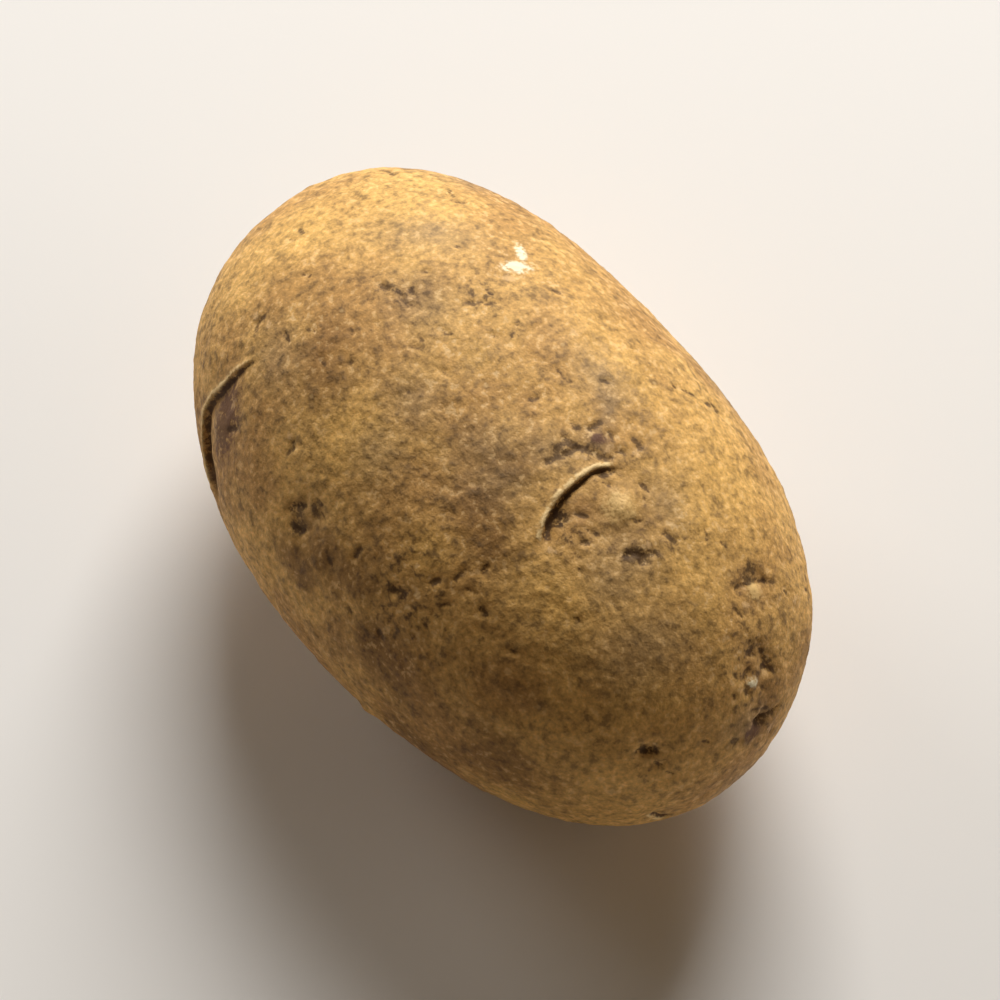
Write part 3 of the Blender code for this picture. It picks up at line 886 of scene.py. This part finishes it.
# %% Blotches and scurf
blotches = add(tree, "ShaderNodeMapRange", None,
               {"Value": noise["blotch"], "From Min": 0.30, "From Max": 0.70,
                "To Min": 1.11, "To Max": 0.89})
mottle = add(tree, "ShaderNodeMapRange", None,
             {"Value": noise["speck"], "From Min": 0.30, "From Max": 0.70,
              "To Min": 1.34, "To Max": 0.68})
shade = add(tree, "ShaderNodeMath", {"operation": "MULTIPLY"},
            {0: blotches.outputs["Result"], 1: mottle.outputs["Result"]})
blotched = add(tree, "ShaderNodeVectorMath", {"operation": "SCALE"},
               {0: ashen.outputs[2], "Scale": shade.outputs[0]})

# Scurf: thin cracks that follow a level line of the noise and come and go
from_level = add(tree, "ShaderNodeMath", {"operation": "SUBTRACT"}, {0: noise["scurf"], 1: 0.5})
off_level = add(tree, "ShaderNodeMath", {"operation": "ABSOLUTE"}, {0: from_level.outputs[0]})
crack = add(tree, "ShaderNodeMapRange", {"interpolation_type": "SMOOTHSTEP"},
            {"Value": off_level.outputs[0], "From Min": 0.0, "From Max": 0.07,
             "To Min": 1.0, "To Max": 0.0})
crack_gaps = add(tree, "ShaderNodeMapRange", {"interpolation_type": "SMOOTHSTEP"},
                 {"Value": noise["speck"], "From Min": 0.42, "From Max": 0.60})
crack_part = add(tree, "ShaderNodeMath", {"operation": "MULTIPLY"},
                 {0: crack.outputs["Result"], 1: crack_gaps.outputs["Result"]})
crack_amount = add(tree, "ShaderNodeMath", {"operation": "MULTIPLY_ADD", "use_clamp": True},
                   {0: mask["russet"], 1: 0.6, 2: 0.10})
crack_share = add(tree, "ShaderNodeMath", {"operation": "MULTIPLY"},
                  {0: crack_part.outputs[0], 1: crack_amount.outputs[0]})
scurfy = add(tree, "ShaderNodeMix", {"data_type": "RGBA"},
             {0: crack_share.outputs[0], 6: blotched.outputs[0], 7: linear("#5E411E")})
print("scurf drawn")

# %% Specks, flecks and breathing pores
# Dark specks gather in clusters, and pale flecks of loose cork lie between them, most where it flakes
clustering = add(tree, "ShaderNodeMath", {"operation": "MULTIPLY_ADD"},
                 {0: noise["blotch"], 1: 0.35, 2: noise["speck"]})
specks = add(tree, "ShaderNodeMapRange", {"interpolation_type": "SMOOTHSTEP"},
             {"Value": clustering.outputs[0], "From Min": 0.74, "From Max": 0.86})
speck_base = add(tree, "ShaderNodeMath", {"operation": "MULTIPLY_ADD"},
                 {0: mask["rubbed"], 1: -0.20, 2: 0.32})
speck_amount = add(tree, "ShaderNodeMath", {"operation": "MULTIPLY_ADD", "use_clamp": True},
                   {0: mask["russet"], 1: 0.50, 2: speck_base.outputs[0]})
speck_share = add(tree, "ShaderNodeMath", {"operation": "MULTIPLY"},
                  {0: specks.outputs["Result"], 1: speck_amount.outputs[0]})
specked = add(tree, "ShaderNodeMix", {"data_type": "RGBA"},
              {0: speck_share.outputs[0], 6: scurfy.outputs[2], 7: linear("#573C18")})
flecks = add(tree, "ShaderNodeMapRange", {"interpolation_type": "SMOOTHSTEP"},
             {"Value": noise["speck"], "From Min": 0.44, "From Max": 0.33})
fleck_amount = add(tree, "ShaderNodeMath", {"operation": "MULTIPLY_ADD", "use_clamp": True},
                   {0: mask["flaky"], 1: 0.35, 2: 0.40})
fleck_share = add(tree, "ShaderNodeMath", {"operation": "MULTIPLY"},
                  {0: flecks.outputs["Result"], 1: fleck_amount.outputs[0]})
flecked = add(tree, "ShaderNodeMix", {"data_type": "RGBA"},
              {0: fleck_share.outputs[0], 6: specked.outputs[2], 7: linear("#E3BE86")})
grain = add(tree, "ShaderNodeMapRange", None,
            {"Value": noise["grain"], "From Min": 0.3, "From Max": 0.7, "To Min": 0.84, "To Max": 1.16})
grained = add(tree, "ShaderNodeVectorMath", {"operation": "SCALE"},
              {0: flecked.outputs[2], "Scale": grain.outputs["Result"]})

# A pore is a pale dot with a dark ring, in some of the cells of a 5 mm Voronoi pattern
pores = add(tree, "ShaderNodeTexVoronoi", {"feature": "F1"}, {"Vector": place, "Scale": PER_MM / 5.0})
pore_ring = add(tree, "ShaderNodeMapRange", {"interpolation_type": "SMOOTHSTEP"},
                {"Value": pores.outputs["Distance"], "From Min": 0.17, "From Max": 0.10, "To Max": 0.2})
ringed = add(tree, "ShaderNodeMix", {"data_type": "RGBA"},
             {0: pore_ring.outputs["Result"], 6: grained.outputs[0], 7: linear("#6B4A23")})
pore_dot = add(tree, "ShaderNodeMapRange", {"interpolation_type": "SMOOTHSTEP"},
               {"Value": pores.outputs["Distance"], "From Min": 0.09, "From Max": 0.04, "To Max": 0.4})
pored = add(tree, "ShaderNodeMix", {"data_type": "RGBA"},
            {0: pore_dot.outputs["Result"], 6: ringed.outputs[2], 7: linear("#D9B478")})
print("specks and pores drawn")

# %% Eyes, pits and marks
# Each edge is broken by the grain, so that a soft mask gives a ragged mark
TINTS = (
    # mask, share at its middle, colour, and where the ragged edge starts and ends
    # hollow: a little darker, a film of soil and painted shade in each eye's hollow
    ("hollow", 0.25, "#8A6643", 0.0, 1.0),
    ("bud", 0.85, "#EEC57E", 0.2, 0.9),
    ("bruise", 0.88, "#6A4530", 0.05, 0.75),
    # dark spot: painted shade where it lies in a hollow, and elsewhere a dark mark of the skin
    ("dark spot", 0.80, "#543A16", 0.15, 0.80),
    ("scar", 0.60, "#5F4326", 0.2, 0.8),
    # pale: scuffs, and a few painted highlights on the lit edges of pits
    ("pale", 0.55, "#E6BC84", 0.35, 0.85),
    # rim: a painted highlight along the lit crest of each brow
    ("rim", 0.94, "#F8D698", 0.22, 0.85),
    # fold: painted shade in and under each brow's fold
    ("fold", 0.88, "#4A2D0D", 0.15, 0.60),
    # pit and crack: dark brown, partly their own colour and partly painted shade in the dent
    ("pit", 0.80, "#482E0A", 0.30, 0.80),
    ("crack", 0.78, "#4C310C", 0.20, 0.80),
    ("flake", 0.92, "#FBEFCB", 0.20, 0.75),
)
both_noises = add(tree, "ShaderNodeMath", {"operation": "ADD"}, {0: noise["grain"], 1: noise["speck"]})
raggedness = add(tree, "ShaderNodeMath", {"operation": "MULTIPLY_ADD"},
                 {0: both_noises.outputs[0], 1: 2.4, 2: -2.4})
colour = pored.outputs[2]
for name, share, tint, edge_start, edge_end in TINTS:
    ragged = add(tree, "ShaderNodeMath", {"operation": "MULTIPLY_ADD"},
                 {0: raggedness.outputs[0], 1: mask[name], 2: mask[name]})
    amount = add(tree, "ShaderNodeMapRange", {"interpolation_type": "SMOOTHSTEP"},
                 {"Value": ragged.outputs[0], "From Min": edge_start, "From Max": edge_end,
                  "To Max": share})
    colour = add(tree, "ShaderNodeMix", {"data_type": "RGBA"},
                 {0: amount.outputs["Result"], 6: colour, 7: linear(tint)}).outputs[2]
print("marks laid over", len(TINTS), "kinds of place")

# %% Roughness, fine relief and the shader
# Dry cork is matt, and rubbed cork has a faint sheen. Its IOR is that of dry plant cells.
DULL = 0.74
RUBBED = 0.56
PLANT_IOR = 1.45
RELIEF_DEPTH = 0.22 * MM

specks_and_grain = add(tree, "ShaderNodeMath", {"operation": "MULTIPLY_ADD"},
                       {0: noise["grain"], 1: 0.16, 2: noise["speck"]})
with_cracks = add(tree, "ShaderNodeMath", {"operation": "MULTIPLY_ADD"},
                  {0: crack_part.outputs[0], 1: -0.06, 2: specks_and_grain.outputs[0]})
relief = add(tree, "ShaderNodeBump", None,
             {"Height": with_cracks.outputs[0], "Strength": 1.0, "Distance": RELIEF_DEPTH})
dullness = add(tree, "ShaderNodeMapRange", None,
               {"Value": rubbed_share.outputs[0], "To Min": DULL, "To Max": RUBBED})
shader = add(tree, "ShaderNodeBsdfPrincipled", None,
             {"Base Color": colour, "Roughness": dullness.outputs["Result"],
              "Normal": relief.outputs["Normal"], "IOR": PLANT_IOR})
add(tree, "ShaderNodeOutputMaterial", None, {"Surface": shader.outputs["BSDF"]})
skin.data.materials.append(cork)
print(len(tree.nodes), "nodes in", cork.name)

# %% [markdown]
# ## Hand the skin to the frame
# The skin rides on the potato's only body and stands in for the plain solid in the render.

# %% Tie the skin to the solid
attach(skin, "root")
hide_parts("potato")

# %% [markdown]
# ## Floor, light and camera
# The potato lies on a plain pale floor. One large soft light stands high behind the stem end, so that
# the upper skin is bright, the near flank falls into shade and the brows cast thin shadows. The camera
# looks down steeply from far off with a long lens, which keeps the outline free of perspective.

# %% Floor
bpy.ops.object.select_all(action="DESELECT")
bpy.ops.mesh.primitive_plane_add(size=6)
floor = bpy.context.object
floor.name = "floor"
# Matt paper scatters light evenly, so it shows the potato's soft shadow and no reflection
paper = bpy.data.materials.new("matt white paper")
paper.use_nodes = True
paper_shader = paper.node_tree.nodes["Principled BSDF"]
paper_shader.inputs["Base Color"].default_value = linear("#ECE9E4")
paper_shader.inputs["Roughness"].default_value = 0.9
floor.data.materials.append(paper)

# %% Camera and lights
CAMERA_AZIMUTH = 54.7
CAMERA_ELEVATION = 65.0
CAMERA_DISTANCE = 1.0
SENSOR_WIDTH = 36.0  # millimetres, as in a full-frame camera
FRAME_WIDTH = 0.138  # metres that the picture spans at the potato
AIM_HEIGHT = 29.0 * MM  # about half of the potato's thickness
AIM_RIGHT = 0.4 * MM
AIM_UP = -1.0 * MM

azimuth, elevation = math.radians(CAMERA_AZIMUTH), math.radians(CAMERA_ELEVATION)
back = Vector((math.sin(azimuth) * math.cos(elevation), -math.cos(azimuth) * math.cos(elevation),
               math.sin(elevation)))
right = Vector((math.cos(azimuth), math.sin(azimuth), 0))
up = back.cross(right)
aim = Vector((0, 0, AIM_HEIGHT)) + AIM_RIGHT * right + AIM_UP * up

bpy.ops.object.camera_add(location=aim + CAMERA_DISTANCE * back,
                          rotation=back.to_track_quat("Z", "Y").to_euler())
camera = bpy.context.object
camera.data.sensor_width = SENSOR_WIDTH
camera.data.lens = SENSOR_WIDTH * CAMERA_DISTANCE / FRAME_WIDTH
bpy.context.scene.camera = camera
print("the lens is", round(camera.data.lens), "mm long")


LIGHT_DISTANCE = 1.2


def soft_light(name, toward, size, watts, colour):
    """A square area light that shines on the potato from a direction."""
    toward = toward.normalized()
    bpy.ops.object.light_add(type="AREA", location=aim + LIGHT_DISTANCE * toward,
                             rotation=toward.to_track_quat("Z", "Y").to_euler())
    light = bpy.context.object
    light.name = name
    light.data.size = size
    light.data.energy = watts
    light.data.color = linear(colour)[:3]


soft_light("key light", 0.14 * right + 0.96 * up + 0.20 * back, 0.7, 20, "#FFFFFF")
soft_light("left rim light", -0.68 * right + 0.73 * up, 0.4, 3.6, "#FFFFFF")
soft_light("right fill light", 0.90 * right + 0.10 * up + 0.40 * back, 0.8, 1.2, "#FFF6EA")

# A faint warm light from all round, and the plain view transform, which keeps the colours as chosen
world = bpy.data.worlds.new("studio")
world.use_nodes = True
background = world.node_tree.nodes["Background"]
background.inputs["Color"].default_value = linear("#FFDDB0")
background.inputs["Strength"].default_value = 0.09
bpy.context.scene.world = world
bpy.context.scene.view_settings.view_transform = "Standard"
